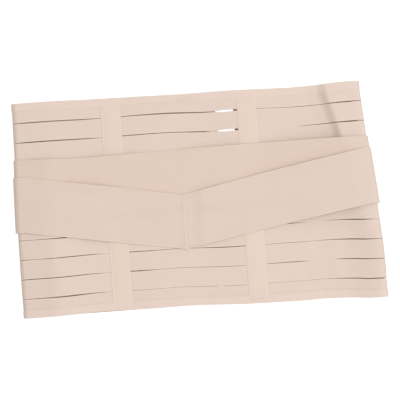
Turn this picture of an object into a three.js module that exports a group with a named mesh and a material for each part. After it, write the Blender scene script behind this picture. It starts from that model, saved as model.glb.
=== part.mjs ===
// A maternity support belt, fastened into a loop and lying flat with its front up. Millimetres.
// X runs along the waist, Y towards the top hem and Z up from the floor, whose height is 0.
import * as THREE from "three";

// Cloth thicknesses, and the play kept between neighbouring pieces
const STRIP_THICK = 1.2;
const BAND_THICK = 1;
const TAPE_THICK = 1;
const SEAM_THICK = 0.8;
const PLAY = 0.3;

// The slotted body: strips between two hems, with narrow slits between them
const STRIPS = 11;
const SLIT = 1.2;
const HEM = 9;
const TAPE_WIDTH = 21;
const TAPE_CENTRES = { left: -88, right: 59 };
const BINDING_WIDTH = 12;
const SEAM_WIDTH = 3.2;
const SEAM_X = -15.5;
const MEET_X = 34.5;

// Height of the middle of the front cloth where the loop is flattest
const FRONT_HEIGHT = 13;

// Beside its left fold the body rises to a low crest, whose height changes up the belt
const LEFT_CREST = [
  { y: 115, rise: 1.6 },
  { y: 58, rise: 2.2 },
  { y: 0, rise: 4.2 },
  { y: -40, rise: 5 },
  { y: -115, rise: 5 },
];
const LEFT_SLOPE = [
  { away: 0, share: 0 },
  { away: 16, share: 0.5 },
  { away: 33, share: 1 },
  { away: 60, share: 0.45 },
  { away: 93, share: 0 },
];

// Beside its right fold the body puffs up, from a foot to a crest, each a distance in from where the fold
// starts; low on the belt the crest lies out past it, so the cloth still climbs as it turns
const RIGHT_SLOPE = [
  { y: 115, foot: 41.5, crest: 27, rise: 6.5 },
  { y: 85, foot: 36, crest: 21.5, rise: 6.5 },
  { y: 58, foot: 33.5, crest: 19, rise: 6.5 },
  { y: -30, foot: 44, crest: 0, rise: 8 },
  { y: -60, foot: 50, crest: -9, rise: 9.5 },
  { y: -115, foot: 50, crest: -9, rise: 9.5 },
];

// Gentle swells of the body between the folds, highest beside the tapes
const SWELLS = [
  { x: -98, rise: 0 },
  { x: -77, rise: 0 },
  { x: -58, rise: 0.8 },
  { x: -20, rise: 0.5 },
  { x: 18, rise: 0 },
  { x: 48, rise: 0.9 },
  { x: 70, rise: 0.9 },
  { x: 105, rise: 0.2 },
  { x: 130, rise: 0 },
];

// Under the bands the body lies on them, and beyond them it slopes down to the floor
const LIFT = 2 * (BAND_THICK + PLAY);
const LIFT_MARGIN = 11;
const LIFT_RAMP = 14;

// How far the underside's slits lie below the front's, by how far down the belt they are
const UNDER_SHIFT = [
  { down: 0, shift: 0.3 },
  { down: 0.09, shift: 2.3 },
  { down: 0.91, shift: 2.3 },
  { down: 1, shift: -0.3 },
];

// On the front the bands are taut from fold to fold, held off the body by the tapes and the two crests
const BAND_CRESTS = { left: { away: 33, clear: 0.6 }, right: { away: 22, clear: 0.3 } };

// How far each layer's middle lies outside the middle of the body's cloth
const WAIST_OUT = STRIP_THICK / 2 + PLAY + BAND_THICK / 2;
const V_OUT = WAIST_OUT + BAND_THICK + PLAY;

// The two folds: how far out the body reaches at each height up the belt
const FOLDS = [
  { y: 112, left: -194.8, right: 181.6 },
  { y: 85, left: -195.1, right: 183.9 },
  { y: 58, left: -195.3, right: 186.1 },
  { y: -20, left: -196.6, right: 193.7 },
  { y: -66, left: -196.8, right: 197.3 },
  { y: -111, left: -196.1, right: 198.2 },
];

// The hems of the front, as it lies
const HEMS = [
  { x: -188, top: 116.5, bottom: -116.1 },
  { x: -150, top: 116.7, bottom: -115.2 },
  { x: -114, top: 116.1, bottom: -113.7 },
  { x: -62, top: 115.8, bottom: -113.9 },
  { x: -12, top: 115.4, bottom: -113.4 },
  { x: 40, top: 116, bottom: -115.2 },
  { x: 92, top: 115.1, bottom: -115.7 },
  { x: 112, top: 114.8, bottom: -115.6 },
  { x: 134, top: 115.7, bottom: -115 },
  { x: 160, top: 117.2, bottom: -115.8 },
  { x: 178, top: 117.4, bottom: -117.1 },
];

// The waist band's edges on the front
const WAIST = [
  { x: -188, top: 55.3, bottom: -4.7 },
  { x: -126, top: 53.7, bottom: -6.3 },
  { x: -60, top: 54.8, bottom: -5.2 },
  { x: 48, top: 57.1, bottom: -2.6 },
  { x: 160, top: 57.9, bottom: -1.3 },
  { x: 180, top: 57.5, bottom: -1.7 },
];

// The edges of the V band's two arms on the front
const V_ARMS = {
  left: [
    { x: -188, top: 36.4, bottom: -23.7 },
    { x: -98, top: 21.3, bottom: -38.9 },
    { x: SEAM_X, top: 6.8, bottom: -52.3 },
  ],
  right: [
    { x: SEAM_X, top: 6.8, bottom: -52.3 },
    { x: 68, top: 24.1, bottom: -36.3 },
    { x: 147, top: 38.6, bottom: -22.4 },
    { x: 184, top: 45.1, bottom: -15.9 },
  ],
};

// The same edges on the underside, from the left fold past the meeting of the ends to the right fold
const UNDER = [
  { x: -188, top: 116.5, bottom: -116.1, waistTop: 55.3, waistBottom: -4.7, vTop: 36.4, vBottom: -23.7 },
  { x: MEET_X, top: 114, bottom: -113.6, waistTop: 59, waistBottom: -1, vTop: 66, vBottom: 5.3 },
  { x: 180, top: 117.4, bottom: -117.1, waistTop: 57.5, waistBottom: -1.7, vTop: 45.1, vBottom: -15.9 },
];

// The body's two ends on the underside, which meet below and spread apart towards the top hem
const ENDS = [
  { y: 115, left: 24.3, right: 43.3 },
  { y: 74, left: 25.9, right: 44.8 },
  { y: 30, left: 29, right: 42 },
  { y: -10, left: 33.4, right: 36.2 },
  { y: -40, left: 34.2, right: 34.8 },
  { y: -115, left: 34.2, right: 34.8 },
];

// A soft upright crease pressed into the lower front of the body
const CREASE = { x: 2, top: -58, bottom: -112, reach: 9, depth: 0.3 };

// How finely the pieces are cut into flat facets
const FRONT_STEPS = 17;
const CREASED_STEPS = 12;
const CREASED_FROM = 0.78;
const FOLD_STEPS = 8;
const UNDER_STEPS = { left: 7, right: 5 };
const ACROSS_STEPS = 2;
const TAPE_STEPS = 22;
const SEAM_STEPS = 4;

const mix = (from, to, part) => from + (to - from) * part;
const clamp = (part) => Math.min(1, Math.max(0, part));
const ease = (part) => clamp(part) ** 2 * (3 - 2 * clamp(part));
const bell = (distance, reach) => Math.exp(-((distance / reach) ** 2));
const steps = (count) => Array.from({ length: count + 1 }, (_, i) => i / count);

// A smooth curve through one column of a table, level beyond the table's ends
function read(table, key, column, at) {
  const rows = [...table].sort((a, b) => a[key] - b[key]);
  const last = rows.length - 1;
  if (at <= rows[0][key]) return rows[0][column];
  if (at >= rows[last][key]) return rows[last][column];
  const i = rows.findIndex((row) => row[key] > at) - 1;
  const slope = (k) => {
    const a = rows[Math.max(0, k - 1)];
    const b = rows[Math.min(last, k + 1)];
    return (b[column] - a[column]) / (b[key] - a[key]);
  };
  const width = rows[i + 1][key] - rows[i][key];
  const p = (at - rows[i][key]) / width;
  const ends = rows[i][column] * (1 - ease(p)) + rows[i + 1][column] * ease(p);
  return ends + width * p * (1 - p) * (slope(i) * (1 - p) - slope(i + 1) * p);
}

// Straight lines from row to row of a table, for the plainly finished underside
function readStraight(table, key, column, at) {
  const rows = [...table].sort((a, b) => a[key] - b[key]);
  const after = rows.slice(1, -1).filter((row) => row[key] <= at).length + 1;
  const [before, next] = [rows[after - 1], rows[after]];
  return mix(before[column], next[column], clamp((at - before[key]) / (next[key] - before[key])));
}

// Height of the middle of the body's cloth on the underside
function underHeight(x, y) {
  const edge = (column) => readStraight(UNDER, "x", column, x);
  const low = Math.min(edge("waistBottom"), edge("vBottom")) - LIFT_MARGIN;
  const high = Math.max(edge("waistTop"), edge("vTop")) + LIFT_MARGIN;
  const beyond = Math.max(low - y, y - high);
  return STRIP_THICK / 2 + LIFT * (1 - ease(beyond / LIFT_RAMP));
}

// The half circle that the middle of the body's cloth makes round a fold
function fold(side, y) {
  const edge = read(FOLDS, "y", side, y);
  const low = underHeight(edge, y);
  const rise = side === "left" ? 0 : rightRise(0, y);
  const radius = (FRONT_HEIGHT + rise - low) / 2;
  const inward = side === "left" ? 1 : -1;
  return { x: edge + inward * (STRIP_THICK / 2 + radius), z: low + radius, radius };
}

// How far the body rises beside its left fold
function leftRise(away, y) {
  return read(LEFT_CREST, "y", "rise", y) * read(LEFT_SLOPE, "away", "share", away);
}

// How far the body rises beside its right fold, gently at first
function rightRise(away, y) {
  const foot = read(RIGHT_SLOPE, "y", "foot", y);
  const crest = read(RIGHT_SLOPE, "y", "crest", y);
  return read(RIGHT_SLOPE, "y", "rise", y) * ease((foot - away) / (foot - crest)) ** 2;
}

// Depth of the crease at a place on the front
function creaseDepth(x, y) {
  const beyond = Math.max(0, CREASE.bottom - y, y - CREASE.top);
  return CREASE.depth * bell(Math.hypot(x - CREASE.x, beyond), CREASE.reach);
}

// Height of the middle of the body's cloth on the front
function bodyHeight(x, y) {
  const fromLeft = leftRise(x - fold("left", y).x, y);
  const fromRight = rightRise(Math.max(0, fold("right", y).x - x), y);
  return FRONT_HEIGHT + fromLeft + fromRight + read(SWELLS, "x", "rise", x) - creaseDepth(x, y);
}

// Height of the cloth that a taut band follows: straight from fold to crest to tape and on
function bandHeight(x, y) {
  const left = fold("left", y).x;
  const right = fold("right", y).x;
  const overTape = (at) => ({ x: at, rise: read(SWELLS, "x", "rise", at) + TAPE_THICK + 2 * PLAY });
  const half = TAPE_WIDTH / 2;
  const route = [
    { x: left, rise: 0 },
    { x: left + BAND_CRESTS.left.away, rise: read(LEFT_CREST, "y", "rise", y) + BAND_CRESTS.left.clear },
    ...["left", "right"].flatMap((side) => [-half, half].map((step) => overTape(TAPE_CENTRES[side] + step))),
    { x: right - BAND_CRESTS.right.away, rise: rightRise(0, y) + BAND_CRESTS.right.clear },
    { x: right, rise: rightRise(0, y) },
  ];
  return FRONT_HEIGHT + readStraight(route, "x", "rise", x);
}

// How one strip lies: part 0 is its upper edge and part 1 its lower edge
function stripLie(index) {
  const trimTop = index > 0 ? SLIT / 2 : 0;
  const trimBottom = index < STRIPS - 1 ? SLIT / 2 : 0;
  const down = (part) => (index + part) / STRIPS;
  const trim = (part) => mix(-trimTop, trimBottom, part);
  const front = (x, part) =>
    mix(read(HEMS, "x", "top", x), read(HEMS, "x", "bottom", x), down(part)) + trim(part);
  const shift = (part) => readStraight(UNDER_SHIFT, "down", "shift", down(part));
  const under = (x, part) => {
    const edges = ["top", "bottom"].map((column) => readStraight(UNDER, "x", column, x));
    return mix(edges[0], edges[1], down(part)) + trim(part) - shift(part);
  };
  const held = BINDING_WIDTH + PLAY;
  const ends = {
    left: (y) => read(ENDS, "y", "left", y) - held,
    right: (y) => read(ENDS, "y", "right", y) + held,
  };
  return { front, under, shift, ends, height: bodyHeight, out: 0, thick: STRIP_THICK };
}

// How a band lies, from its table of edges on the front and its two columns on the underside
function bandLie(table, columns, out, ends) {
  const front = (x, part) => mix(read(table, "x", "top", x), read(table, "x", "bottom", x), part);
  const under = (x, part) => {
    const edges = columns.map((column) => readStraight(UNDER, "x", column, x));
    return mix(edges[0], edges[1], part);
  };
  return { front, under, shift: () => 0, ends, height: bandHeight, out, thick: BAND_THICK };
}

// A point on a piece of cloth: the run it is on, how far along that run, how far down, and how far out
function place(lie, run, along, part, out) {
  const outermost = { left: -Infinity, right: Infinity };
  const bend = (side) => {
    const y = lie.front(outermost[side], part);
    return { y, ...fold(side, y) };
  };
  if (run.kind === "fold") {
    const { x, y, z, radius } = bend(run.side);
    const turn = Math.PI * along;
    const outward = run.side === "left" ? -1 : 1;
    const reach = radius + out;
    const drop = lie.shift(part) * ease(along);
    return new THREE.Vector3(x + outward * reach * Math.sin(turn), y - drop, z + reach * Math.cos(turn));
  }
  if (run.kind === "under") {
    const start = bend(run.side);
    const x = mix(start.x, lie.ends[run.side](lie.under(MEET_X, part)), along);
    const y = lie.under(x, part);
    return new THREE.Vector3(x, y, underHeight(x, y) - out);
  }
  const from = run.from ?? bend("left").x;
  const to = run.to ?? bend("right").x;
  const x = mix(from, to, along);
  const y = lie.front(x, part);
  return new THREE.Vector3(x, y, lie.height(x, y) + out);
}

// A closed solid through a row of matching sections, each a ring of points, joined end to end or capped
function solidThrough(sections, joined) {
  const size = sections[0].length;
  const points = sections.flat();
  const triangles = [];
  const spans = joined ? sections.length : sections.length - 1;
  for (let s = 0; s < spans; s += 1) {
    const here = s * size;
    const next = ((s + 1) % sections.length) * size;
    for (let k = 0; k < size; k += 1) {
      const m = (k + 1) % size;
      triangles.push(here + k, next + k, next + m, here + k, next + m, here + m);
    }
  }
  const cap = (start, flip) => {
    for (let k = 0; k < size / 2 - 1; k += 1) {
      const quad = [k, k + 1, size - 2 - k, size - 1 - k].map((corner) => start + corner);
      const [a, b, c, d] = flip ? quad.reverse() : quad;
      triangles.push(a, b, c, a, c, d);
    }
  };
  if (!joined) {
    cap(0, false);
    cap((sections.length - 1) * size, true);
  }
  const geometry = new THREE.BufferGeometry().setFromPoints(points);
  geometry.setIndex(triangles);
  geometry.computeVertexNormals();
  return geometry;
}

// The ring of points of one cross-section: along the inner face, then back along the outer face
function section(lie, run, along) {
  const parts = steps(ACROSS_STEPS);
  const face = (out) => parts.map((part) => place(lie, run, along, part, out));
  return [...face(lie.out - lie.thick / 2), ...face(lie.out + lie.thick / 2).reverse()];
}

// Cloth along a row of runs, where the end of each run is the start of the next
function cloth(lie, runs, joined = false) {
  const sections = runs.flatMap((run, i) => {
    const marks = i > 0 ? run.marks.slice(1) : run.marks;
    return marks.map((along) => section(lie, run, along));
  });
  return solidThrough(joined ? sections.slice(0, -1) : sections, joined);
}

// The runs of a loop, in order from its left end on the underside round to its right end
const backwards = (marks) => [...marks].reverse();
const frontMarks = [
  ...steps(FRONT_STEPS).map((p) => p * CREASED_FROM),
  ...steps(CREASED_STEPS).slice(1).map((p) => mix(CREASED_FROM, 1, p)),
];
const underLeft = { kind: "under", side: "left", marks: backwards(steps(UNDER_STEPS.left)) };
const foldLeft = { kind: "fold", side: "left", marks: backwards(steps(FOLD_STEPS)) };
const foldRight = { kind: "fold", side: "right", marks: steps(FOLD_STEPS) };
const underRight = { kind: "under", side: "right", marks: steps(UNDER_STEPS.right) };
const front = { kind: "front", marks: frontMarks };
const loopRuns = [underLeft, foldLeft, front, foldRight, underRight];

// A straight tape laid on the front or the underside, from its centre line, its heights and its reach
function tape(centre, width, topEdge, bottomEdge, count, faces) {
  const sections = steps(count).map((part) => {
    const y = mix(topEdge, bottomEdge, part);
    const across = [centre(y) - width / 2, centre(y), centre(y) + width / 2];
    const upper = across.map((x) => new THREE.Vector3(x, y, faces(x, y).upper));
    const lower = across.map((x) => new THREE.Vector3(x, y, faces(x, y).lower));
    return [...upper, ...lower.reverse()];
  });
  return solidThrough(sections, false);
}

function stayTape(side) {
  const x = TAPE_CENTRES[side];
  const faces = (at, y) => {
    const lower = bodyHeight(at, y) + STRIP_THICK / 2 + PLAY;
    return { lower, upper: lower + TAPE_THICK };
  };
  const topEdge = read(HEMS, "x", "top", x) - HEM;
  const bottomEdge = read(HEMS, "x", "bottom", x) + HEM;
  return tape(() => x, TAPE_WIDTH, topEdge, bottomEdge, TAPE_STEPS, faces);
}

function endBinding(side) {
  const inward = side === "left" ? -1 : 1;
  const centre = (y) => read(ENDS, "y", side, y) + inward * BINDING_WIDTH / 2;
  const faces = (x, y) => {
    const middle = underHeight(x, y);
    return { lower: middle - STRIP_THICK / 2, upper: middle + STRIP_THICK / 2 };
  };
  const topEdge = readStraight(UNDER, "x", "top", MEET_X);
  const bottomEdge = readStraight(UNDER, "x", "bottom", MEET_X);
  return tape(centre, BINDING_WIDTH, topEdge, bottomEdge, TAPE_STEPS, faces);
}

function vArm(side) {
  const inward = side === "left" ? -1 : 1;
  const ends = { [side]: () => MEET_X + inward * PLAY / 2 };
  const lie = bandLie(V_ARMS[side], ["vTop", "vBottom"], V_OUT, ends);
  const seamEdge = SEAM_X + inward * PLAY / 2;
  if (side === "left") return cloth(lie, [underLeft, foldLeft, { ...front, to: seamEdge }]);
  return cloth(lie, [{ ...front, from: seamEdge }, foldRight, underRight]);
}

function vSeam() {
  const faces = (x, y) => {
    const lower = bandHeight(x, y) + V_OUT + BAND_THICK / 2 + PLAY;
    return { lower, upper: lower + SEAM_THICK };
  };
  const [{ top, bottom }] = V_ARMS.right;
  return tape(() => SEAM_X, SEAM_WIDTH, top, bottom, SEAM_STEPS, faces);
}

function waistBand() {
  const ends = { left: () => MEET_X, right: () => MEET_X };
  return cloth(bandLie(WAIST, ["waistTop", "waistBottom"], WAIST_OUT, ends), loopRuns, true);
}

const belt = new THREE.Group();
const elasticColour = "#e3cfc2";
const peachColour = "#e5cdbd";
const tapeColour = "#e6d4c8";

function add(name, geometry, color) {
  const material = new THREE.MeshStandardMaterial({ color, roughness: 0.9, metalness: 0 });
  const mesh = new THREE.Mesh(geometry, material);
  mesh.name = name;
  belt.add(mesh);
}

for (let index = 0; index < STRIPS; index += 1) {
  const number = String(index + 1).padStart(2, "0");
  add(`strip_${number}`, cloth(stripLie(index), loopRuns), elasticColour);
}
for (const side of ["left", "right"]) {
  add(`stay_tape_${side}`, stayTape(side), tapeColour);
  add(`end_binding_${side}`, endBinding(side), tapeColour);
  add(`v_band_${side}`, vArm(side), elasticColour);
}
add("waist_band", waistBand(), peachColour);
add("v_seam", vSeam(), elasticColour);

export default belt;
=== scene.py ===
# %% [markdown]
# # A maternity support belt, laid flat
# The belt is a wide loop of knitted elastic. Its body is cut into eleven strips by long narrow slits,
# two upright stay tapes hold the strips together, a plain waist band goes right round, and a second
# band forms a shallow V over it. Here the loop lies pressed flat with its front up.
# The imported model gives the fixed frame, so the first step is to load it.

# %% Load the frame
import math
from types import SimpleNamespace

import bpy
import numpy as np
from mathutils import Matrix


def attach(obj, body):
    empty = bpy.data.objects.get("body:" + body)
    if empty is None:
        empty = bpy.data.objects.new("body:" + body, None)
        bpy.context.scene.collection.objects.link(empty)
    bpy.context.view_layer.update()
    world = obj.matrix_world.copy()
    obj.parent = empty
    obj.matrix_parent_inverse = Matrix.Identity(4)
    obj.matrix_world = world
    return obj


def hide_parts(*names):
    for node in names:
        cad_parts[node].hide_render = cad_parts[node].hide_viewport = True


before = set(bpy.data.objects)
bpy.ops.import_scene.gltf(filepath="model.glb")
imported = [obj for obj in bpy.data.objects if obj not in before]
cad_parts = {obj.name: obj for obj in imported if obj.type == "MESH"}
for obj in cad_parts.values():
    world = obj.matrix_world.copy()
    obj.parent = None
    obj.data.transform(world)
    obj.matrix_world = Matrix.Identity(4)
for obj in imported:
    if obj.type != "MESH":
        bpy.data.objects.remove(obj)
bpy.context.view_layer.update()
scene = bpy.context.scene

# %% [markdown]
# ## The sizes that everything follows
# Cloth like this could be dropped into place by a simulation, but the belt has a known lie: two layers,
# two folds, and taut bands on top. So each surface is worked out from the same few sizes as the solids.
# Sizes are in millimetres, and turn into metres only when a mesh is made.

# %% Thicknesses and widths
MM = 0.001
STRIP_THICK, BAND_THICK, TAPE_THICK, PLAY = 1.2, 1.0, 1.0, 0.3
STRIPS = 11
HEM = 9
TAPE_WIDTH = 21
TAPE_CENTRES = {"left": -88, "right": 59}
BINDING_WIDTH = 12
SEAM_X, SEAM_WIDTH = -15.5, 3.2
MEET_X = 34.5
FRONT_HEIGHT = 13
SIDES = {"left": -1, "right": 1}
print("the front's cloth lies", FRONT_HEIGHT, "mm up and is cut into", STRIPS, "strips")

# %% Tables of the belt's edges, with one column for each edge
FOLDS = {
    "y": (-111, -66, -20, 58, 85, 112),
    "left": (-196.1, -196.8, -196.6, -195.3, -195.1, -194.8),
    "right": (198.2, 197.3, 193.7, 186.1, 183.9, 181.6),
}
HEMS = {
    "x": (-188, -150, -114, -62, -12, 40, 92, 112, 134, 160, 178),
    "top": (116.5, 116.7, 116.1, 115.8, 115.4, 116, 115.1, 114.8, 115.7, 117.2, 117.4),
    "bottom": (-116.1, -115.2, -113.7, -113.9, -113.4, -115.2, -115.7, -115.6, -115, -115.8, -117.1),
}
WAIST = {
    "x": (-188, -126, -60, 48, 160, 180),
    "top": (55.3, 53.7, 54.8, 57.1, 57.9, 57.5),
    "bottom": (-4.7, -6.3, -5.2, -2.6, -1.3, -1.7),
}
V_ARMS = {
    "left": {"x": (-188, -98, SEAM_X), "top": (36.4, 21.3, 6.8), "bottom": (-23.7, -38.9, -52.3)},
    "right": {
        "x": (SEAM_X, 68, 147, 184),
        "top": (6.8, 24.1, 38.6, 45.1),
        "bottom": (-52.3, -36.3, -22.4, -15.9),
    },
}
UNDER = {
    "x": (-188, MEET_X, 180),
    "top": (116.5, 114, 117.4),
    "bottom": (-116.1, -113.6, -117.1),
    "waist_top": (55.3, 59, 57.5),
    "waist_bottom": (-4.7, -1, -1.7),
    "v_top": (36.4, 66, 45.1),
    "v_bottom": (-23.7, 5.3, -15.9),
}
ENDS = {
    "y": (-115, -40, -10, 30, 74, 115),
    "left": (34.3, 34.3, 33.3, 29, 25.9, 24.3),
    "right": (34.7, 34.7, 36.2, 42, 44.8, 43.3),
}
print("the front is", FOLDS["right"][0] - FOLDS["left"][0], "mm wide at the bottom hem")

# %% [markdown]
# ## Smooth curves through a few points
# A hem is never quite straight. A spline could be drawn by hand in Blender, but a function of x can be
# asked for at any place, so the mesh may be as fine as it needs to be.


# %% Curve helpers
def mix(start, stop, part):
    """Part 0 is the start and part 1 the stop."""
    return start + (stop - start) * part


def ease(part):
    """3p^2 - 2p^3: a step from 0 to 1 that starts and ends level."""
    part = np.clip(part, 0, 1)
    return part * part * (3 - 2 * part)


def bell(distance, reach):
    """A smooth hump: e to the minus square of distance over reach."""
    return np.exp(-((distance / reach) ** 2))


def curve(at, knots, values):
    """A cubic between each two knots, whose slope at a knot is that of the line between its neighbours;
    level beyond the ends."""
    knots, values = np.asarray(knots, float), np.asarray(values, float)
    count = np.arange(len(knots))
    after, before = np.minimum(count + 1, len(knots) - 1), np.maximum(count - 1, 0)
    slope = (values[after] - values[before]) / (knots[after] - knots[before])
    at = np.clip(at, knots[0], knots[-1])
    i = np.clip(np.searchsorted(knots, at, side="right") - 1, 0, len(knots) - 2)
    width = knots[i + 1] - knots[i]
    part = (at - knots[i]) / width
    ends = mix(values[i], values[i + 1], ease(part))
    return ends + width * part * (1 - part) * (slope[i] * (1 - part) - slope[i + 1] * part)


def read(table, key, column, at):
    """The smooth curve through one column of a table."""
    return curve(at, table[key], table[column])


def read_under(column, x):
    """Straight lines through a column of the back's table."""
    return np.interp(x, UNDER["x"], UNDER[column])


print("the top hem is at", round(float(read(HEMS, "x", "top", 0.0)), 2), "mm in the middle")

# %% [markdown]
# ## How high each layer lies
# The back lies on the floor, lifted a little where the two bands pass under it. Each fold is a half turn
# from the back up to the front. On the front the body has a low crest by the left fold, puffs up by the
# right one from a soft foot, and swells softly beside the tapes. The bands are taut, so they run straight
# from fold to crest to tape. Sculpting could give such heights by eye, but formulas keep the bands clear
# of the body.

# %% Heights of the back and the folds
LIFT, LIFT_MARGIN, LIFT_RAMP = 2 * (BAND_THICK + PLAY), 11, 14
RIGHT_SLOPE = {
    "y": (-115, -60, -30, 58, 85, 103, 115),
    "foot": (54, 53, 45, 33, 36, 40, 42),
    "crest": (-9, -9, 0, 16, 19.6, 23.5, 25.2),
    "rise": (9.6, 9.6, 7.4, 6.8, 7.3, 8, 5.2),
    "run": (4, 4, 6, 9, 9, 8, 10),
    "lead": (1.3, 1.3, 0.8, 1.1, 1.5, 1.3, 1.6),
}
LEAD_IN = 0.3


def under_height(x, y):
    """Middle of the back's cloth: on the floor, plus the lift of two bands eased off beyond their edges."""
    low = np.minimum(read_under("waist_bottom", x), read_under("v_bottom", x)) - LIFT_MARGIN
    high = np.maximum(read_under("waist_top", x), read_under("v_top", x)) + LIFT_MARGIN
    beyond = np.maximum(low - y, y - high)
    return STRIP_THICK / 2 + LIFT * (1 - ease(beyond / LIFT_RAMP))


def right_rise(away, y, shift=0.0):
    """The puff by the right fold: the square of an eased step from foot to crest, on a gentler eased step
    that leads up to it from further out."""
    columns = ("foot", "crest", "rise", "run", "lead")
    foot, crest, rise, run, lead = (read(RIGHT_SLOPE, "y", column, y) for column in columns)
    foot = foot + shift
    steep = ease((foot - away) / (foot - crest)) ** 2
    gentle = ease((foot + run - away) / (run + LEAD_IN * (foot - crest)))
    return rise * steep + lead * gentle


def fold_rise(side, y, beyond=0.0):
    """How far the front has risen at a fold, or a little beyond it: only the right side puffs up."""
    return right_rise(-beyond, y) if side == "right" else 0 * y


def fold(side, y):
    """A half turn from the back to the front: its centre (x, z) and its radius at height y up the belt."""
    edge = read(FOLDS, "y", side, y)
    low = under_height(edge, y)
    radius = (FRONT_HEIGHT + fold_rise(side, y) - low) / 2
    return SimpleNamespace(x=edge - SIDES[side] * (STRIP_THICK / 2 + radius), z=low + radius, radius=radius)


print("the left fold's radius is", round(float(fold("left", 0.0).radius), 2), "mm in the middle")

# %% Heights of the front
LEFT_CREST = {"y": (-115, -40, 0, 58, 115), "rise": (5, 5, 4.2, 2.2, 1.6)}
LEFT_SLOPE = {"away": (0, 16, 33, 60, 93), "share": (0, 0.5, 1, 0.45, 0)}
SWELLS = {
    "x": (-98, -77, -58, -20, 18, 48, 70, 105, 130),
    "rise": (0, 0, 0.8, 0.5, 0, 0.9, 0.9, 0.2, 0),
}
CREASE = SimpleNamespace(x=2, top=-58, bottom=-112, reach=9, depth=0.3)


def left_rise(away, y):
    """The crest by the left fold: its height at y times a share that grows to 1 and dies away again."""
    return read(LEFT_CREST, "y", "rise", y) * read(LEFT_SLOPE, "away", "share", away)


def crease_depth(x, y):
    """A bell of the distance to the nearest point of an upright line."""
    below = np.maximum(CREASE.bottom - y, y - CREASE.top)
    return CREASE.depth * bell(np.hypot(x - CREASE.x, np.maximum(below, 0)), CREASE.reach)


def body_height(x, y, shift=0.0):
    """Middle of the front's cloth: the flat height plus the two rises and the swells, less the crease."""
    left = left_rise(x - fold("left", y).x, y)
    right = right_rise(np.maximum(0, fold("right", y).x - x), y, shift)
    return FRONT_HEIGHT + left + right + read(SWELLS, "x", "rise", x) - crease_depth(x, y)


print("the front rises to", round(float(body_height(170.0, -60.0)), 2), "mm by the right fold")

# %% Heights of the taut bands
BAND_CRESTS = {"left": 33, "right": 10}
BAND_CLEAR = {"left": 0.6, "right": 0.3}
WAIST_OUT = STRIP_THICK / 2 + PLAY + BAND_THICK / 2
V_OUT = WAIST_OUT + BAND_THICK + PLAY
ROUNDING = np.array([-8, -4, 0, 4, 8])
ROUNDING_FADE = 20


def band_height(x, y):
    """Straight ramps from fold to crest to tape edges and on, each a clipped slope, averaged over a few
    near places so that the corners are soft."""
    left, right = fold("left", y).x, fold("right", y).x
    crest = read(LEFT_CREST, "y", "rise", y) + BAND_CLEAR["left"]
    route = [(left, fold_rise("left", y)), (left + BAND_CRESTS["left"], crest)]
    for centre in TAPE_CENTRES.values():
        for edge in (centre - TAPE_WIDTH / 2, centre + TAPE_WIDTH / 2):
            route.append((edge, float(read(SWELLS, "x", "rise", edge)) + TAPE_THICK + 2 * PLAY))
    end = fold_rise("right", y)
    route += [(right - BAND_CRESTS["right"], end + BAND_CLEAR["right"]), (right, end)]
    fade = ease(np.minimum(x - left, right - x) / ROUNDING_FADE)
    rise = np.zeros(np.broadcast(x, y).shape)
    for step in ROUNDING:
        at = x + step * fade
        rise += route[0][1]
        for (x0, r0), (x1, r1) in zip(route, route[1:]):
            rise += (r1 - r0) * np.clip((at - x0) / (x1 - x0), 0, 1)
    return FRONT_HEIGHT + rise / len(ROUNDING)


room = band_height(120.0, 20.0) - body_height(120.0, 20.0)
print("the bands stand", round(float(room), 2), "mm off the body")

# %% [markdown]
# ## A profile carried along the loop
# Every long piece is one cross-section carried from its end on the back, round the left fold, over the
# front, round the right fold and back. Two numbers place a point: the part of the way down the cloth, and
# how far out it is from the middle of the body's cloth. A curve object with a bevel could do this too, but
# it can't widen and narrow its slits along the way.

# %% The five runs of the loop
SLIT_BLEND = 30
FRONT_MARKS = np.linspace(0, 1, 250)
FOLD_MARKS = np.linspace(0, 1, 28)
UNDER_MARKS = {"left": np.linspace(0, 1, 70), "right": np.linspace(0, 1, 45)}
OUTERMOST = {"left": -1e3, "right": 1e3}
FOLD_POWER = {"left": 1.0, "right": 0.5}


def fold_of(lie, side, part):
    """The fold that the cloth goes round at each part of the way down, with its height y up the belt."""
    y = lie.front(OUTERMOST[side], part)
    return y, fold(side, y)


def front_run(lie, part, out, start=None, stop=None):
    """x goes evenly from fold to fold, y follows the table of edges, z is the cloth's height plus out."""
    left = fold_of(lie, "left", part)[1].x if start is None else start
    right = fold_of(lie, "right", part)[1].x if stop is None else stop
    x = mix(left, right, FRONT_MARKS[:, None]) + 0 * part
    y = lie.front(x, part)
    return np.stack([x, y, lie.height(x, y) + out], -1)


def fold_run(lie, side, part, out):
    """A half turn of radius plus out about the fold's centre, from the front down to the back, while y drops
    to where the back lies. A power below 1 of sine and cosine makes the right fold's upper quarter squarer,
    and that quarter goes on rising as the front does."""
    y, bend = fold_of(lie, side, part)
    along = FOLD_MARKS[:, None]
    reach = bend.radius + out
    across, up = np.sin(np.pi * along), np.cos(np.pi * along)
    power = np.where(up > 0, FOLD_POWER[side], 1.0)
    across, up = across**power, np.sign(up) * np.abs(up) ** power
    lip = np.clip(up, 0, 1) * (fold_rise(side, y, reach * across) - fold_rise(side, y))
    drop = lie.shift(part) * ease(along)
    return np.stack([bend.x + SIDES[side] * reach * across, y - drop, bend.z + reach * up + lip], -1)


def under_run(lie, side, part, out):
    """x goes evenly from the fold to the end, y follows the back's edges, z is its height less out."""
    bend = fold_of(lie, side, part)[1]
    end = lie.end(side, lie.under(MEET_X + 0 * part, part, side, SLIT_BLEND))
    x = mix(bend.x, end, UNDER_MARKS[side][:, None])
    y = lie.under(x, part, side, np.abs(x - bend.x))
    return np.stack([x, y, under_height(x, y) - out], -1)


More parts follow.
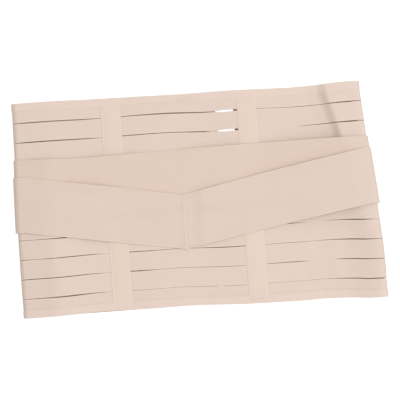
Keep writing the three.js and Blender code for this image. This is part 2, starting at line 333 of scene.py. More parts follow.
def loop_runs(lie, part, out):
    """The whole loop from its left end on the back to its right end, one run after another."""
    runs = [
        under_run(lie, "left", part, out)[::-1],
        fold_run(lie, "left", part, out)[::-1][1:],
        front_run(lie, part, out)[1:],
        fold_run(lie, "right", part, out)[1:],
        under_run(lie, "right", part, out)[1:],
    ]
    return np.concatenate(runs)


all_marks = [*UNDER_MARKS.values(), FOLD_MARKS, FOLD_MARKS, FRONT_MARKS]
print("a loop has", 1 + sum(len(marks) - 1 for marks in all_marks), "stations")


# %% A closed mesh from a grid of points
def facing_out(name, points, faces):
    """The faces, turned round if the volume that they enclose comes out negative. It is a sixth of the sum
    of the triangles' triple products."""
    products = sum(
        np.einsum("ij,ij->i", points[f[:, 0]], np.cross(points[f[:, k]], points[f[:, k + 1]])).sum()
        for f in faces
        for k in range(1, f.shape[1] - 1)
    )
    print(" ", name, "encloses", round(abs(float(products)) / 6), "mm3")
    return faces if products > 0 else [f[:, ::-1] for f in faces]


def solid_mesh(name, points, faces, layout=None, edge=None):
    """A mesh object from points in millimetres and arrays of faces. Layout gives each point's place on the
    flat cloth in metres, for the weave, and edge marks the cloth's edges from 0 to 1."""
    faces = facing_out(name, points, faces)
    mesh = bpy.data.meshes.new(name)
    mesh.from_pydata((points * MM).tolist(), [], [row for f in faces for row in f.tolist()])
    corners = np.concatenate([f.ravel() for f in faces])
    if layout is not None:
        places = layout[corners].astype(np.float32).ravel()
        mesh.uv_layers.new(name="cloth").uv.foreach_set("vector", places)
    # edge carries painted light: a painted highlight along the cloth's edges, paler hems and a painted shade
    # line by the bottom hem
    if edge is not None:
        marks = edge.astype(np.float32).ravel()
        mesh.attributes.new("edge", "FLOAT", "POINT").data.foreach_set("value", marks)
    mesh.shade_smooth()
    mesh.update()
    made = bpy.data.objects.new(name, mesh)
    scene.collection.objects.link(made)
    return made


def swept_cloth(name, grid, down, edge, joined=False):
    """Rings of points, one for each station, joined to the next by quads. A ring goes along the outer face
    and back along the inner one, so its ends are capped by quads between the two faces, or the last ring
    joins the first. Down is each ring point's place across the flat cloth, in millimetres."""
    stations, size = grid.shape[:2]
    index = np.arange(stations * size).reshape(stations, size)
    if joined:
        grid = np.concatenate([grid, grid[:1]])
        index = np.arange((stations + 1) * size).reshape(stations + 1, size)
    after = np.roll(index, -1, axis=1)
    quads = np.stack([index[:-1], index[1:], after[1:], after[:-1]], -1).reshape(-1, 4)
    faces = [quads]
    half = size // 2
    if not joined:
        k = np.arange(1, half - 1)
        across = np.stack([k, k + 1, size - 1 - k, size - k], -1)
        tips = np.array([[0, 1, size - 1], [half - 1, half, half + 1]])
        for ring, turn in ((index[0], 1), (index[-1], -1)):
            faces += [ring[across][:, ::turn], ring[tips][:, ::turn]]
    centre_line = grid.mean(1)
    along = np.concatenate([[0], np.cumsum(np.linalg.norm(np.diff(centre_line, axis=0), axis=1))])
    layout = np.stack(np.broadcast_arrays(along[:, None], down), -1).reshape(-1, 2) * MM
    marks = np.broadcast_to(edge, grid.shape[:2])
    return solid_mesh(name, grid.reshape(-1, 3), faces, layout, marks), along[-1]


# %% [markdown]
# ## The cross-section of a piece of elastic
# A cut edge of elastic is soft and round, a woven selvedge has a fine cord along it, and a hem is folded
# double. A bevel would round the edges but give no cord. So the thickness is a function of the distance
# from the edge: a quarter circle at the very edge, then a small ridge and groove. Points crowd near the
# edges, where the form changes.

# %% Ridges and grooves
EDGE_STEPS = np.array([0, 0.03, 0.1, 0.2, 0.35, 0.6, 0.9, 1.35, 1.8, 2.4, 3.2])
EDGE_MOST = 0.4
EDGE_ROUND = 0.5
MIDDLE_POINTS = {"strip": 6, "hem": 14, "band": 12, "tape": 8}
# painted highlight: the cloth's colour is made paler just inside each edge, where a raised edge catches light
PAINTED_EDGE_HIGHLIGHT = SimpleNamespace(at=0.5, reach=0.8, rise=1)
CUT_RIDGE = SimpleNamespace(at=0.9, reach=0.6, rise=0.05)
CORD = SimpleNamespace(at=0.9, reach=0.45, rise=0.16)
CORD_GROOVE = SimpleNamespace(at=2.0, reach=0.5, rise=-0.10)
HEM_LAYER, HEM_END, HEM_FADE = 0.45, HEM - 0.8, 1.2
HEM_GROOVE = SimpleNamespace(at=HEM - 0.6, reach=0.7, rise=-0.5)


def ridge(distance, form):
    """A bell along a line at a distance from the edge: a ridge, or a groove where its rise is below 0."""
    return form.rise * bell(distance - form.at, form.reach)


def cut_edge(top, bottom):
    """A knitted edge: a faint ridge just inside it."""
    return ridge(np.minimum(top, bottom), CUT_RIDGE)


def selvedge(top, bottom):
    """A woven edge: a fine cord, then a groove beside it."""
    nearest = np.minimum(top, bottom)
    return ridge(nearest, CORD) + ridge(nearest, CORD_GROOVE)


def in_hem(distance):
    """1 inside a hem's stitch line and 0 outside it, by the distance from the belt's edge."""
    return 1 - ease((distance - HEM_END) / HEM_FADE)


def hemmed(distance):
    """A folded hem: one more layer up to its stitch line, which is pulled in."""
    return HEM_LAYER * in_hem(distance) + ridge(distance, HEM_GROOVE)


print("an edge has", len(EDGE_STEPS), "points in its first", EDGE_STEPS[-1], "mm")


# %% Cross-section
def cross_section(width, thick, middle_points, relief, crown=0.0, edge_round=EDGE_ROUND):
    """Ring of (part down, out) pairs: half the thickness times a quarter circle at each edge, plus relief on
    the outer face, all bent up by the crown. Relief is a function of the distances from the two edges."""
    edge_steps = EDGE_STEPS * min(1, EDGE_MOST * width / EDGE_STEPS[-1])
    inner = np.linspace(edge_steps[-1], width - edge_steps[-1], middle_points + 2)[1:-1]
    down = np.concatenate([edge_steps, inner, width - edge_steps[::-1]])
    nearest = np.minimum(down, width - down)
    swell = np.sqrt(np.clip(1 - (1 - np.minimum(nearest / edge_round, 1)) ** 2, 0, 1))
    bent = crown * np.sin(np.pi * down / width)
    outer = swell * (thick / 2 + relief(down, width - down)) + bent
    inside = -swell * thick / 2 + bent
    ring_down = np.concatenate([down, down[1:-1][::-1]])
    ring_out = np.concatenate([outer, inside[1:-1][::-1]])
    # painted highlight along both edges, carried to the shader as the edge attribute
    ring_painted_highlight = ridge(np.minimum(ring_down, width - ring_down), PAINTED_EDGE_HIGHLIGHT)
    return SimpleNamespace(down=ring_down, part=ring_down / width, out=ring_out, edge=ring_painted_highlight)


BAND_WIDTH = 60
band_ring = cross_section(BAND_WIDTH, BAND_THICK, MIDDLE_POINTS["band"], selvedge)
print("a band's ring has", len(band_ring.down), "points")

# %% [markdown]
# ## The body's strips
# On the real belt the body is one wide elastic with slits knitted into it. The slits gape where the cloth
# is slack and close up under the tapes. Cutting the slits out of a plane with a Boolean would leave hard
# edges, so each strip is its own swept piece, and the slit is the room between two neighbours.

# %% Slits
SLIT = 1.2
SLIT_LEAST = -0.6
SLIT_PLACES = (-193, -180, -145, -120, -100, -70, -45, -15, 10, 22, 34, 70, 105, 122, 138, 150, 170, 192)
SLIT_WIDTHS = {
    1: (0.5, 0.9, 0.9, 0.8, 0.3, 0.55, 1.0, 1.2, 0.9, 0.9, 2.3, 0.3, 0.3, 0.4, 0.35, 0.8, 1.1, 0.5),
    2: (0.4, 0.95, 0.95, 0.8, 0.2, 0.65, 0.6, 0.5, 0.95, 0.15, 2.4, -0.1, -0.2, 0.25, 0.5, 0.75, 1.1, 0.5),
    7: (0.3, 0.2, 0.85, 0.9, 0.9, 0.9, 0.9, 0.9, 0.9, 0.9, 0.9, 0.9, 0.3, -0.3, 0.1, 0.4, 0.95, 0.1),
    8: (0.4, 0.2, 0.7, 0.5, 0.02, 0.6, 0.35, 0.15, 0.5, 0.7, 0.65, 0.2, 0.25, 0.1, 0.3, 0.6, 1.0, 0.3),
    9: (0.55, 0.65, 0.7, 0.45, 0.05, 0.8, 0.2, 0.2, 0.3, 0.25, 0.22, 0.25, 0.55, -0.3, -0.3, 0.45, 0.9, 0.5),
    10: (0.3, 0.5, 1.2, 0.65, 0.05, 0.2, 0.08, 0.1, 0.2, 0.2, 0.2, 0.06, 0.08, 0.06, 0.2, 0.55, 1.0, 1.0),
}
SLIT_WAVE = {
    "x": (-190, -150, -110, -30, 20, 60, 100, 160, 190),
    "upper": (-0.5, -0.5, -0.4, 0.9, -0.8, -0.2, -0.1, -0.7, -0.2),
    "lower": (-0.3, -0.5, -0.3, -0.1, -0.9, -0.2, 0.4, -0.2, -0.7),
}
LAST_UPPER, FIRST_LOWER = 2, 7


def slit_half(number, x):
    """Half the width of a slit at x: nothing at the hems, a table for the slits that show, else level."""
    if number in (0, STRIPS):
        return 0 * x
    widths = SLIT_WIDTHS.get(number, (SLIT,) * len(SLIT_PLACES))
    return np.maximum(curve(x, SLIT_PLACES, widths), SLIT_LEAST) / 2


def slit_wave(number, x):
    """How far a slit strays from its even share: one wave above the bands and another below them."""
    if number in (0, STRIPS):
        return 0 * x
    waves = [read(SLIT_WAVE, "x", column, x) for column in ("upper", "lower")]
    return mix(*waves, np.clip((number - LAST_UPPER) / (FIRST_LOWER - LAST_UPPER), 0, 1))


print("the widest slit opens by", max(max(widths) for widths in SLIT_WIDTHS.values()), "mm")

# %% How a strip lies
BINDING_GRIP = 3
UNDER_SHIFT = {"down": (0, 0.09, 0.91, 1), "shift": (0.3, 2.3, 2.3, -0.3)}
FOOT_STEP, FOOT_TURN = 0.7, 2.4


def strip_lie(index):
    """How a strip lies: an even share of the belt's height, trimmed by half a slit at each edge. On the back
    its slits lie a little lower than on the front, so the floor seldom shows through both."""

    def share(top, bottom, part, *moves):
        """The strip's share of the height between two edges, plus a mix of its own two edges' moves."""
        return mix(top, bottom, (index + part) / STRIPS) + mix(*moves, part)

    def front(x, part):
        """Each edge moves by its slit's wave, and by half the slit's width away from the slit."""
        x = np.asarray(x, float)
        edges = [read(HEMS, "x", column, x) for column in ("top", "bottom")]
        above = slit_wave(index, x) - slit_half(index, x)
        below = slit_wave(index + 1, x) + slit_half(index + 1, x)
        return share(*edges, part, above, below)

    def under(x, part, side, away):
        """The moves at the fold are eased into those of a plain slit."""
        edges = [read_under(column, x) for column in ("top", "bottom")]
        moves = []
        for number, sign in ((index, -1), (index + 1, 1)):
            at_fold = np.full_like(x, OUTERMOST[side])
            start = slit_wave(number, at_fold) + sign * slit_half(number, at_fold)
            plain_slit = sign * SLIT / 2 if 0 < number < STRIPS else 0
            moves.append(mix(start, plain_slit, ease(away / SLIT_BLEND)))
        return share(*edges, part, *moves) - shift(part)

    def shift(part):
        """How much lower the back lies, in straight lines down the belt."""
        return np.interp((index + part) / STRIPS, UNDER_SHIFT["down"], UNDER_SHIFT["shift"])

    def height(x, y):
        """The body's height, with the puff's foot a little nearer or further from strip to strip."""
        return body_height(x, y, shift=FOOT_STEP * math.sin(FOOT_TURN * index))

    def end(side, y):
        """The strip ends inside its binding, which grips it."""
        return read(ENDS, "y", side, y) + SIDES[side] * (BINDING_WIDTH - BINDING_GRIP)

    return SimpleNamespace(front=front, under=under, shift=shift, height=height, end=end)


print("the bindings grip", BINDING_GRIP, "mm of each strip's ends")

# %% Strips
MIDDLE_ROW = 4
STRIP_WIDTH = (HEMS["top"][MIDDLE_ROW] - HEMS["bottom"][MIDDLE_ROW]) / STRIPS - SLIT
STRIP_EDGE = 0.3
TOP, BOTTOM = 0, STRIPS - 1
# a line along the bottom hem's stitching is painted darker: needle holes and painted shade in the pulled-in
# stitch line
HEM_HOLES_AND_PAINTED_SHADE = SimpleNamespace(at=HEM + 0.2, reach=0.7, rise=-1.4)


def strip_relief(index):
    """A knitted edge on both sides, or a hem in place of the outermost edge."""

    def relief(top, bottom):
        if index == TOP:
            return hemmed(top) + cut_edge(bottom, bottom)
        if index == BOTTOM:
            return hemmed(bottom) + cut_edge(top, top)
        return cut_edge(top, bottom)

    return relief


strips, strip_lengths = [], []
for index in range(STRIPS):
    points = MIDDLE_POINTS["hem" if index in (TOP, BOTTOM) else "strip"]
    ring = cross_section(STRIP_WIDTH, STRIP_THICK, points, strip_relief(index), edge_round=STRIP_EDGE)
    # the hems are painted paler up to their stitch line, and the bottom strip also gets the painted shade
    # line beside it
    if index == TOP:
        ring.edge = np.maximum(ring.edge, in_hem(ring.down))
    if index == BOTTOM:
        from_hem = STRIP_WIDTH - ring.down
        ring.edge = np.maximum(ring.edge, in_hem(from_hem)) + ridge(from_hem, HEM_HOLES_AND_PAINTED_SHADE)
    grid = loop_runs(strip_lie(index), ring.part, ring.out)
    piece, length = swept_cloth(f"body_strip_{index + 1:02d}", grid, ring.down, ring.edge)
    strips.append(piece)
    strip_lengths.append(length)
shortest, longest = round(min(strip_lengths)), round(max(strip_lengths))
print(len(strips), "strips,", round(STRIP_WIDTH, 1), "mm wide and", shortest, "to", longest, "mm long")

# %% [markdown]
# ## The waist band and the V band
# Both are 60 mm woven elastic with corded edges. The waist band is one ring. The V band's two arms are
# joined by a seam near the middle of the front, and they lie on the waist band, so below its edge they
# settle onto the body. A cloth brush could press them down, but a table of drops says how far. Each arm
# is a swept piece with capped ends.

# %% Waist band
WAIST_LIFT = {
    "x": (-188, -160, -138, -100, -78, -30, 0, 40, 60, 100, 140, 165, 184),
    "rise": (0, 2.0, -0.3, 0.8, 0.6, -1.3, 0, 1.0, -0.2, 1.2, 2.4, 2.4, 0),
}
LIFT_RUN = 14


def band_lie(table, columns, height, gap=0.0):
    """How a band lies: between its two edges on the front, and between two columns of the back's table. Its
    two ends stand apart by the gap."""

    def front(x, part):
        """A mix of the band's edges."""
        return mix(read(table, "x", "top", x), read(table, "x", "bottom", x), part)

    def under(x, part, side, away):
        """A mix of the band's edges on the back."""
        return mix(read_under(columns[0], x), read_under(columns[1], x), part)

    def shift(part):
        """A band's back lies no lower than its front."""
        return 0 * part

    def end(side, y):
        """Half the gap from the place where the two ends meet."""
        return MEET_X + SIDES[side] * gap / 2 + 0 * y

    return SimpleNamespace(front=front, under=under, shift=shift, height=height, end=end)


def edge_lift(table, x, below):
    """A table of x, eased off to nothing a short way below the band's upper edge, which curls up."""
    return read(table, "x", "rise", x) * ease(1 - below / LIFT_RUN)


def waist_height(x, y):
    """The taut height plus the lift of the upper edge."""
    return band_height(x, y) + edge_lift(WAIST_LIFT, x, read(WAIST, "x", "top", x) - y)


waist_lie = band_lie(WAIST, ("waist_top", "waist_bottom"), waist_height)
waist_grid = loop_runs(waist_lie, band_ring.part, WAIST_OUT + band_ring.out)
waist_band, waist_length = swept_cloth(
    "waist_elastic", waist_grid[:-1], band_ring.down, band_ring.edge, joined=True
)
print("the waist band is", round(waist_length), "mm round")

# %% V arms
V_SETTLE = {
    "x": (-188, -140, -110, -80, -15, 20, 48, 70, 95, 130, 184),
    "drop": (0.4, 1.9, 0.9, 2.2, 2.7, 3.3, 2.2, 2.0, 2.7, 0.8, 0.2),
}
SETTLE_RUN, SETTLE_FADE = 12, 30
V_STEP = {"x": (SEAM_X, -5, 6, 44), "rise": (0, 0, 1.3, 0)}
V_LIFT = {
    "x": (-188, -150, -112, -75, -40, -15, 12, 40, 75, 120, 155, 184),
    "rise": (0, 0.2, 2.8, 0, 0.5, 0, 0.6, 0.6, 2.0, 3.2, 2.3, 0),
}


def v_height(x, y):
    """The taut height, less a settling below the waist band's edge that fades towards both folds,
    plus the lift of the upper edge and a low step beside the seam."""
    fade = ease((x - fold("left", y).x) / SETTLE_FADE) * ease((fold("right", y).x - x) / SETTLE_FADE)
    below = ease((read(WAIST, "x", "bottom", x) - y) / SETTLE_RUN)
    settle = read(V_SETTLE, "x", "drop", x) * below * fade
    top = np.where(x < SEAM_X, *(read(V_ARMS[side], "x", "top", x) for side in SIDES))
    lift = edge_lift(V_LIFT, x, top - y)
    return band_height(x, y) - settle + lift + read(V_STEP, "x", "rise", x)


v_arms, v_lengths = {}, {}
for side, outward in SIDES.items():
    lie = band_lie(V_ARMS[side], ("v_top", "v_bottom"), v_height, gap=PLAY)
    out = V_OUT + band_ring.out
    seam_edge = SEAM_X + outward * PLAY / 2
    under = under_run(lie, side, band_ring.part, out)
    bend = fold_run(lie, side, band_ring.part, out)
    if side == "left":
        runs = [under[::-1], bend[::-1][1:], front_run(lie, band_ring.part, out, stop=seam_edge)[1:]]
    else:
        runs = [front_run(lie, band_ring.part, out, start=seam_edge), bend[1:], under[1:]]
    grid = np.concatenate(runs)
    v_arms[side], v_lengths[side] = swept_cloth(f"v_arm_{side}", grid, band_ring.down, band_ring.edge)
print("the V band's arms are", {side: round(length) for side, length in v_lengths.items()}, "mm long")

# %% [markdown]
# ## Tapes
# The stay tapes are flat woven tapes sewn upright over the strips, with their edges pressed down under
# the stitching. The cloth's two ends on the back are bound in the same tape, and a narrow tape covers the
# V band's seam. A Shrinkwrap could lay a flat tape on the cloth, but the cloth's height is known here, so
# all are the same cross-section carried down the belt over it.

# %% Tape maker
TAPE_STATIONS = 170
TAPE_EDGE = 1.4
TAPE_TUCK, TAPE_SINK = 1.8, 0.3
TAPE_GROOVE = SimpleNamespace(at=1.9, reach=0.55, rise=-0.22)


def laid_tape(name, centre, size, ends, middle, relief, crown=0.0, tuck=0.0):
    """A cross-section carried down the belt along a centre line, which is one x or an x for each station: x
    is the centre plus the place across, and z is the height of the tape's middle there, plus out. A tucked
    tape thins and sinks at both ends."""
    (width, thick), (top, bottom) = size, ends
    ring = cross_section(width, thick, MIDDLE_POINTS["tape"], relief, crown, TAPE_EDGE)
    y = np.linspace(top, bottom, TAPE_STATIONS)[:, None] + 0 * ring.part
    x = np.broadcast_to(centre, TAPE_STATIONS)[:, None] + width * (ring.part - 0.5)
    full = mix(1 - tuck, 1, ease(np.minimum(top - y, y - bottom) / (2 * TAPE_TUCK)))
    grid = np.stack([x, y, middle(x, y) + ring.out * full - TAPE_SINK * (1 - full)], -1)
    return swept_cloth(name, grid, ring.down, ring.edge)[0]


def pressed(left, right):
    """A tape's face: a groove under the stitch line along its left edge, which is drawn tight."""
    return ridge(left, TAPE_GROOVE)


def plain(left, right):
    """A face with no relief."""
    return 0 * left


print("a tape has", TAPE_STATIONS, "stations")

# %% Stay tapes, end bindings and the seam's tape
PRESSED_THICK = 0.3
BINDING_THICK, BINDING_RISE = 1.6, 0.15
STAY_CROWN, STAY_THINNING, JOIN_CROWN = 0.4, 0.7, 0.05
STRIP_ROOM, V_ROOM = 0.12, 0.05
STRIP_FACE = STRIP_THICK / 2 + STRIP_ROOM
V_FACE = V_OUT + BAND_THICK / 2 + V_ROOM
BINDING_ENDS = read_under("top", MEET_X), read_under("bottom", MEET_X)
SEAM_ENDS = V_ARMS["left"]["top"][-1], V_ARMS["left"]["bottom"][-1]


def over_body(x, y):
    """Middle of a tape that is pressed onto the front of the body."""
    return body_height(x, y) + STRIP_FACE + PRESSED_THICK / 2


def round_ends(x, y):
    """Middle of a binding, which is folded round the cloth's end on the back and stands a little above it."""
    return under_height(x, y) + BINDING_RISE


def over_v(x, y):
    """Middle of the narrow tape on the V band."""
    return v_height(x, y) + V_FACE + PRESSED_THICK / 2


stays, bindings, tape_ends = {}, {}, {}
down_back = np.linspace(*BINDING_ENDS, TAPE_STATIONS)
for side, at in TAPE_CENTRES.items():
    tucked = HEM - TAPE_TUCK
    tape_ends[side] = (read(HEMS, "x", "top", at) - tucked, read(HEMS, "x", "bottom", at) + tucked)
    stays[side] = laid_tape(
        f"stay_{side}", at, (TAPE_WIDTH, PRESSED_THICK), tape_ends[side], over_body,
        pressed if side == "left" else plain, STAY_CROWN, STAY_THINNING,
    )
    line = read(ENDS, "y", side, down_back) + SIDES[side] * BINDING_WIDTH / 2
    bindings[side] = laid_tape(
        f"end_bind_{side}", line, (BINDING_WIDTH, BINDING_THICK), BINDING_ENDS, round_ends, pressed
    )
v_join = laid_tape("v_join", SEAM_X, (SEAM_WIDTH, PRESSED_THICK), SEAM_ENDS, over_v, plain, JOIN_CROWN)
print("stay tapes run from", {side: np.round(ends, 1).tolist() for side, ends in tape_ends.items()})

# %% [markdown]
# ## Stitching
# A stitch is a short length of thread that dips into the cloth at both ends. At this scale a bump could
# stand in for it, but real threads catch the light along their length, and a few dozen faces each are
# enough. All stitches of a seam are placed at once: one small template times a frame for each stitch.

# %% Stitch template and placing
THREAD, STITCH, STITCH_GAP = 0.2, 2.5, 0.5
THREAD_DIP = 0.7
SIDES_OF_THREAD = 6
ROW_AT = np.array([0.08, 0.28, 0.5, 0.72, 0.92])
ROW_WIDTH = np.array([0.6, 1.0, 1.0, 1.0, 0.6])


def thread_faces():
    """Faces of one stitch: a fan at each tip, and quads between five rows of points round the thread."""
    row = 1 + np.arange(len(ROW_AT) * SIDES_OF_THREAD).reshape(-1, SIDES_OF_THREAD)
    turned = np.roll(row, -1, axis=1)
    quads = np.stack([row[:-1], turned[:-1], turned[1:], row[1:]], -1).reshape(-1, 4)
    first = np.stack([0 * row[0], turned[0], row[0]], -1)
    last = np.stack([row[-1], turned[-1], 0 * row[-1] + row[-1, -1] + 1], -1)
    return quads, np.concatenate([first, last])


def stitch_row(name, starts, stops, out):
    """Threads from starts to stops, rounded at the tips and arched away from the cloth along out: a thread's
    points are its line, plus a circle of its radius, plus an arch that is highest in the middle."""
    along = stops - starts
    out = out / np.linalg.norm(out, axis=1, keepdims=True)
    beside = np.cross(along, out)
    beside = beside / np.linalg.norm(beside, axis=1, keepdims=True)
    angle = 2 * np.pi * np.arange(SIDES_OF_THREAD) / SIDES_OF_THREAD
    at = np.concatenate([[0], np.repeat(ROW_AT, SIDES_OF_THREAD), [1]])
    width = np.concatenate([[0], np.repeat(ROW_WIDTH, SIDES_OF_THREAD), [0]]) * THREAD
    round_at = np.concatenate([[0], np.tile(angle, len(ROW_AT)), [0]])
    arch = THREAD * (np.sin(np.pi * at) - THREAD_DIP)
    points = (
        starts[:, None]
        + at[:, None] * along[:, None]
        + (width * np.cos(round_at))[:, None] * beside[:, None]
        + (width * np.sin(round_at) + arch)[:, None] * out[:, None]
    )
    offsets = (len(at) * np.arange(len(starts)))[:, None, None]
    faces = [(f[None] + offsets).reshape(-1, f.shape[1]) for f in thread_faces()]
    return solid_mesh(name, points.reshape(-1, 3), faces)


def even_steps(trail, lifted):
    """Starts, stops and outward directions of even stitches along a trail of points, by its length so far."""
    so_far = np.concatenate([[0], np.cumsum(np.linalg.norm(np.diff(trail, axis=0), axis=1))])
    begin = np.arange(0, so_far[-1] - STITCH, STITCH + STITCH_GAP)

    def at(values, where):
        """The values' columns at these lengths, by straight lines."""
        return np.stack([np.interp(where, so_far, column) for column in values.T], -1)

    return at(trail, begin), at(trail, begin + STITCH), at(lifted - trail, begin + STITCH / 2)


print("a stitch has", sum(len(f) for f in thread_faces()), "faces")

# %% Hem stitching
HEM_STITCH = HEM - 1
OUTWARD = 1


def strip_trail(index, down):
    """A line along a strip's outer face, a way down from its upper edge, and the same 1 mm further out."""
    part = np.array([down / STRIP_WIDTH])
    lie = strip_lie(index)
    relief = strip_relief(index)(np.array([down]), np.array([STRIP_WIDTH - down]))
    face = STRIP_THICK / 2 + relief
    return loop_runs(lie, part, face)[:, 0], loop_runs(lie, part, face + OUTWARD)[:, 0]


hem_rows = {
    "top": even_steps(*strip_trail(TOP, HEM_STITCH)),
    "bottom": even_steps(*strip_trail(BOTTOM, STRIP_WIDTH - HEM_STITCH)),
}
hem_stitching = {side: stitch_row(f"hem_stitching_{side}", *row) for side, row in hem_rows.items()}
print("hem stitches:", {side: len(row[0]) for side, row in hem_rows.items()})

# %% Tape and seam stitching
STITCH_INSET = 2.6
SEAM_STITCHES, SEAM_MARGIN = (-3.9, 2.4), 1
TRAIL_POINTS = {"down": 200, "across": 20, "seam": 60}


def surface_trail(x, y, face):
    """A line over a surface z = face(x, y), and the same line 1 mm up."""
    trail = np.stack(np.broadcast_arrays(x, y, face(x, y)), -1)
    return trail, trail + [0, 0, OUTWARD]


def rows_together(rows):
    """Several rows of stitches as one."""
    return [np.concatenate(column) for column in zip(*rows)]


def stay_face(x, y):
    """A stay tape's outer face: its middle plus half its thickness."""
    return over_body(x, y) + PRESSED_THICK / 2


def v_face(x, y):
    """The V band's outer face, with a little room for what lies on it."""
    return v_height(x, y) + V_FACE


stay_stitching = {}
inset = TAPE_WIDTH / 2 - STITCH_INSET
for side, centre in TAPE_CENTRES.items():
    top, bottom = tape_ends[side]
    top, bottom = top - 2 * TAPE_TUCK, bottom + 2 * TAPE_TUCK
    y = np.linspace(top, bottom, TRAIL_POINTS["down"])
    trails = [surface_trail(centre + step + 0 * y, y, stay_face) for step in (-inset, inset)]
    x = np.linspace(-inset, inset, TRAIL_POINTS["across"]) + centre
    trails += [surface_trail(x, end + 0 * x, stay_face) for end in (top, bottom)]
    rows = [even_steps(*trail) for trail in trails]
    stay_stitching[side] = stitch_row(f"stay_stitching_{side}", *rows_together(rows))

y = np.linspace(SEAM_ENDS[0] - SEAM_MARGIN, SEAM_ENDS[1] + SEAM_MARGIN, TRAIL_POINTS["seam"])
seam_rows = [even_steps(*surface_trail(SEAM_X + step + 0 * y, y, v_face)) for step in SEAM_STITCHES]
join_stitching = stitch_row("join_stitching", *rows_together(seam_rows))
print("each side of the seam has", len(seam_rows[0][0]), "stitches")

# %% Zigzag tacks
HEM_TACK = SimpleNamespace(inset=5, tall=6, pitch=3.2)
HEM_TACK_SPANS = {"top": (-16, 4), "bottom": (50, 67)}
TIP_TACK = SimpleNamespace(inset=1.2, tall=1.6, pitch=2.2)
TIP_TACK_SPANS = {"left": (-25, -18), "right": (-13, 0)}
TIP_ROOM = 0.1


def zigzag(span, table, column, tack, face):
    """Threads that go up and down between two lines: their corners alternate above and below a line that is
    inset from the cloth's edge."""
    x = np.arange(*span, tack.pitch / 2)
    middle = read(table, "x", column, x) + (-tack.inset if column == "top" else tack.inset)
    y = middle + tack.tall / 2 * (-1.0) ** np.arange(len(x))
    corners, lifted = surface_trail(x, y, face)
    return corners[:-1], corners[1:], (lifted - corners)[:-1]


def hem_face(x, y):
    """A hem's outer face: the strip's, plus the hem's second layer."""
    return body_height(x, y) + STRIP_THICK / 2 + HEM_LAYER


def tip_face(x, y):
    """The V band's outer face at its tip, with room for a thread."""
    return v_height(x, y) + V_OUT + BAND_THICK / 2 + TIP_ROOM


tacks = {}
for edge, span in HEM_TACK_SPANS.items():
    tacks[f"hem_tack_{edge}"] = zigzag(span, HEMS, edge, HEM_TACK, hem_face)
for side, span in TIP_TACK_SPANS.items():
    tacks[f"tip_tack_{side}"] = zigzag(span, V_ARMS[side], "bottom", TIP_TACK, tip_face)
tack_pieces = {name: stitch_row(name, *row) for name, row in tacks.items()}
print("tacks:", {name: len(row[0]) for name, row in tacks.items()})

# %% [markdown]
# ## Finishes
# Knitted elastic is matt, with fine ribs along its length and finer picks across. The pattern reads the
# cloth's own flat layout, so it follows the folds. An image could hold the weave, but two sine waves are
# sharper at any distance. The colour wanders a little, as dyed elastic does. Painted shade darkens the
# weave's grooves and lightens its ribs, a painted highlight makes the edges paler, the hems are paler,
# and a line of needle holes and painted shade lies along the bottom hem's stitching.

# %% Node helpers
SAME_HUE = 0.5


def new_finish(name, sockets):
    """A new material with some sockets set, its node tree and its shader."""
    material = bpy.data.materials.new(name)
    material.use_nodes = True
    shader = material.node_tree.nodes["Principled BSDF"]
    for socket, value in sockets.items():
        shader.inputs[socket].default_value = value
    return material, material.node_tree, shader


def join(tree, kind, *inputs, **settings):
    """Adds a node with its settings, fills its first sockets in order, and returns its first output."""
    node = tree.nodes.new(kind)
    for key, value in settings.items():
        setattr(node, key, value)
    for socket, value in zip(node.inputs, inputs):
        if isinstance(value, bpy.types.NodeSocket):
            tree.links.new(value, socket)
        elif value is not None:
            socket.default_value = value
    return node.outputs[0]


def calc(tree, operation, *values):
    """A Math node."""
    return join(tree, "ShaderNodeMath", *values, operation=operation)


def wave(tree, length, pitch, push=0.0):
    """A sine wave of one coordinate, from -1 to 1, with its pitch in millimetres, moved along by push."""
    turns = calc(tree, "MULTIPLY_ADD", length, 2 * math.pi / (pitch * MM), push)
    return calc(tree, "SINE", turns)


def noise(tree, form):
    """Smooth noise in the object's own space, from 0 to 1."""
    place = tree.nodes.new("ShaderNodeTexCoord").outputs["Object"]
    return join(tree, "ShaderNodeTexNoise", place, None, form.scale, form.detail)


def paint(tree, shader, colour, shade, rough):
    """The colour times shade goes to the shader, and so does the roughness."""
    tint = join(tree, "ShaderNodeHueSaturation", SAME_HUE, 1.0, shade, 1.0, (*colour, 1))
    tree.links.new(tint, shader.inputs["Base Color"])
    tree.links.new(rough, shader.inputs["Roughness"])


# %% Elastic
MOTTLE = SimpleNamespace(scale=70.0, detail=3.0, spread=0.05)
FUZZ = SimpleNamespace(scale=1500.0, detail=2.0, depth=0.8, rough=0.8, rough_spread=0.16)
STAGGER = 1.2
BUMP_STRENGTH, BUMP_DEPTH = 0.5, 0.0001
WEAVE_PAINTED_SHADE, EDGE_HIGHLIGHT_AND_SHADE_TINT = 0.015, 0.03
SHEEN = {"Specular IOR Level": 0.25, "Sheen Weight": 0.15, "Sheen Roughness": 0.5}


